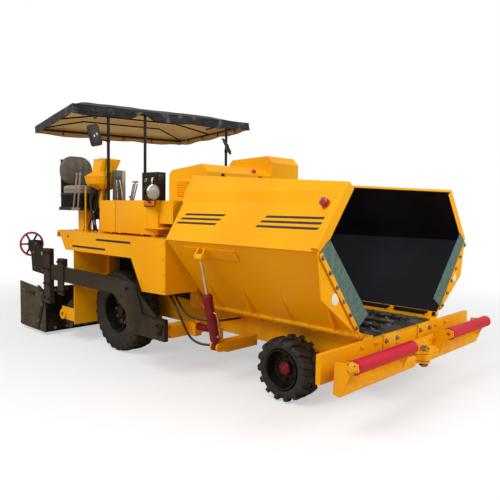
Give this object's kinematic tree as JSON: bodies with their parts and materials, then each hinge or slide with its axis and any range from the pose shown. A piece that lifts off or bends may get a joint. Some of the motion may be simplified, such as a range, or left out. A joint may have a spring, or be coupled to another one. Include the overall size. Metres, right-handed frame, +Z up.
{
  "type": "asphalt paver",
  "caption": "Wheeled asphalt paver with folding hopper wings, push rollers, steered front wheels, augers, towed screed and a canopy over the operator.",
  "frame": {"origin": "centre of the bounding box, on the ground", "axes": "+X forward to the push rollers, +Y to the machine's left, +Z up"},
  "size_m": [5.628, 2.684, 2.8139],
  "materials": {
    "yellow_enamel": "gloss yellow enamel",
    "orange_enamel": "gloss orange-yellow enamel",
    "dark_enamel": "satin dark brown-black enamel",
    "worn_steel": "worn dark steel",
    "red_enamel": "gloss crimson enamel",
    "maroon_enamel": "gloss maroon enamel",
    "chrome_rod": "hard chrome",
    "tyre_rubber": "matt rubber",
    "flap_rubber": "grey-green rubber",
    "canopy_cloth": "coated tarpaulin",
    "seat_vinyl": "grey vinyl",
    "black_steel": "black paint",
    "black_plastic": "moulded",
    "hose_rubber": "smooth black rubber"
  },
  "bodies": {
    "chassis": {"main_frame": "yellow_enamel", "hopper_floor": "worn_steel", "hopper_rear_wall": "worn_steel", "front_axle": "yellow_enamel", "rear_axle": "dark_enamel", "side_panels": "yellow_enamel", "deck": "yellow_enamel", "rear_plate": "orange_enamel", "side_boxes": "yellow_enamel", "engine_hood": "orange_enamel", "engine_block": "dark_enamel", "control_console": "orange_enamel", "instrument_panels": "black_plastic", "seat_pedestal": "orange_enamel", "seat_base": "black_plastic", "seat_cushions": "seat_vinyl", "canopy_sheet": "canopy_cloth", "canopy_frame": "black_steel", "mirrors": "black_plastic", "work_lamp": "black_steel", "levelling_cylinders": "maroon_enamel", "hose_upper_right": "hose_rubber", "hose_lower_right": "hose_rubber", "hose_upper_left": "hose_rubber", "hose_lower_left": "hose_rubber"},
    "wing_right": {"wing_right": "yellow_enamel", "wing_flap_right": "flap_rubber"},
    "wing_barrel_right": {"wing_cylinder_barrel_right": "maroon_enamel"},
    "wing_rod_right": {"wing_cylinder_rod_right": "chrome_rod"},
    "knuckle_right": {"steering_knuckle_right": "yellow_enamel"},
    "front_wheel_right": {"front_rim_right": "maroon_enamel", "front_tyre_right": "tyre_rubber"},
    "rear_wheel_right": {"rear_rim_right": "black_steel", "rear_tyre_right": "tyre_rubber"},
    "push_roller_right": {"push_roller_right": "red_enamel"},
    "auger_right": {"auger_right": "worn_steel"},
    "wing_left": {"wing_left": "yellow_enamel", "wing_flap_left": "flap_rubber"},
    "wing_barrel_left": {"wing_cylinder_barrel_left": "maroon_enamel"},
    "wing_rod_left": {"wing_cylinder_rod_left": "chrome_rod"},
    "knuckle_left": {"steering_knuckle_left": "yellow_enamel"},
    "front_wheel_left": {"front_rim_left": "maroon_enamel", "front_tyre_left": "tyre_rubber"},
    "rear_wheel_left": {"rear_rim_left": "black_steel", "rear_tyre_left": "tyre_rubber"},
    "push_roller_left": {"push_roller_left": "red_enamel"},
    "auger_left": {"auger_left": "worn_steel"},
    "push_beam": {"push_beam": "yellow_enamel"},
    "hood_lid": {"hood_lid": "orange_enamel"},
    "screed": {"tow_arms": "dark_enamel", "screed_body": "black_steel", "screed_end_gates": "dark_enamel", "depth_screws": "black_steel"}
  },
  "joints": [
    {"name": "wing_right_lower", "type": "hinge", "parent": "chassis", "child": "wing_right", "pos_m": [1.6, -0.664, 0.636], "axis": [1, 0, 0], "range_deg": [0, 42]},
    {"name": "wing_barrel_right_swing", "type": "hinge", "parent": "chassis", "child": "wing_barrel_right", "pos_m": [1.2, -1, 0.364], "axis": [1, 0, 0], "range_deg": [0, 40.19]},
    {"name": "wing_rod_right_slide", "type": "slide", "parent": "wing_barrel_right", "child": "wing_rod_right", "axis": [0, -0.2411, 0.9705], "range_m": [-0.31163, 0]},
    {"name": "steer_right", "type": "hinge", "parent": "chassis", "child": "knuckle_right", "pos_m": [1.866, -0.565, 0.274], "axis": [0, 0, 1], "range_deg": [-20, 20]},
    {"name": "front_wheel_right_roll", "type": "hinge", "parent": "knuckle_right", "child": "front_wheel_right", "pos_m": [1.866, -0.765, 0.274], "axis": [0, 1, 0], "continuous": true},
    {"name": "rear_wheel_right_roll", "type": "hinge", "parent": "chassis", "child": "rear_wheel_right", "pos_m": [-0.45, -0.865, 0.454], "axis": [0, 1, 0], "continuous": true},
    {"name": "push_roller_right_spin", "type": "hinge", "parent": "push_beam", "child": "push_roller_right", "pos_m": [2.762, -0.75, 0.544], "axis": [0, 1, 0], "continuous": true},
    {"name": "auger_right_spin", "type": "hinge", "parent": "chassis", "child": "auger_right", "pos_m": [-1.37, -0.6, 0.309], "axis": [0, 1, 0], "continuous": true},
    {"name": "wing_left_lower", "type": "hinge", "parent": "chassis", "child": "wing_left", "pos_m": [1.6, 0.664, 0.636], "axis": [-1, 0, 0], "range_deg": [0, 42]},
    {"name": "wing_barrel_left_swing", "type": "hinge", "parent": "chassis", "child": "wing_barrel_left", "pos_m": [1.2, 1, 0.364], "axis": [-1, 0, 0], "range_deg": [0, 40.19]},
    {"name": "wing_rod_left_slide", "type": "slide", "parent": "wing_barrel_left", "child": "wing_rod_left", "axis": [0, 0.2411, 0.9705], "range_m": [-0.31163, 0]},
    {"name": "steer_left", "type": "hinge", "parent": "chassis", "child": "knuckle_left", "pos_m": [1.866, 0.565, 0.274], "axis": [0, 0, 1], "range_deg": [-20, 20]},
    {"name": "front_wheel_left_roll", "type": "hinge", "parent": "knuckle_left", "child": "front_wheel_left", "pos_m": [1.866, 0.765, 0.274], "axis": [0, 1, 0], "continuous": true},
    {"name": "rear_wheel_left_roll", "type": "hinge", "parent": "chassis", "child": "rear_wheel_left", "pos_m": [-0.45, 0.865, 0.454], "axis": [0, 1, 0], "continuous": true},
    {"name": "push_roller_left_spin", "type": "hinge", "parent": "push_beam", "child": "push_roller_left", "pos_m": [2.762, 0.75, 0.544], "axis": [0, 1, 0], "continuous": true},
    {"name": "auger_left_spin", "type": "hinge", "parent": "chassis", "child": "auger_left", "pos_m": [-1.37, 0.6, 0.309], "axis": [0, 1, 0], "continuous": true},
    {"name": "push_beam_swing", "type": "hinge", "parent": "chassis", "child": "push_beam", "pos_m": [2.7, 0, 0.394], "axis": [0, 0, 1], "range_deg": [-2.5, 2.5]},
    {"name": "hood_lid_open", "type": "hinge", "parent": "chassis", "child": "hood_lid", "pos_m": [0.1, -0.23, 1.916], "axis": [0, -1, 0], "range_deg": [0, 60]},
    {"name": "screed_lift", "type": "hinge", "parent": "chassis", "child": "screed", "pos_m": [0.68, 0, 0.444], "axis": [0, 1, 0], "range_deg": [-1.2, 8]}
  ],
  "couplings": [
    {"joint": "wing_barrel_right_swing", "follows": "wing_right_lower", "ratio": 0.94503},
    {"joint": "wing_rod_right_slide", "follows": "wing_right_lower", "m_per_rad": -0.42103},
    {"joint": "wing_barrel_left_swing", "follows": "wing_left_lower", "ratio": 0.94503},
    {"joint": "wing_rod_left_slide", "follows": "wing_left_lower", "m_per_rad": -0.42103},
    {"joint": "steer_left", "follows": "steer_right", "ratio": 1}
  ]
}
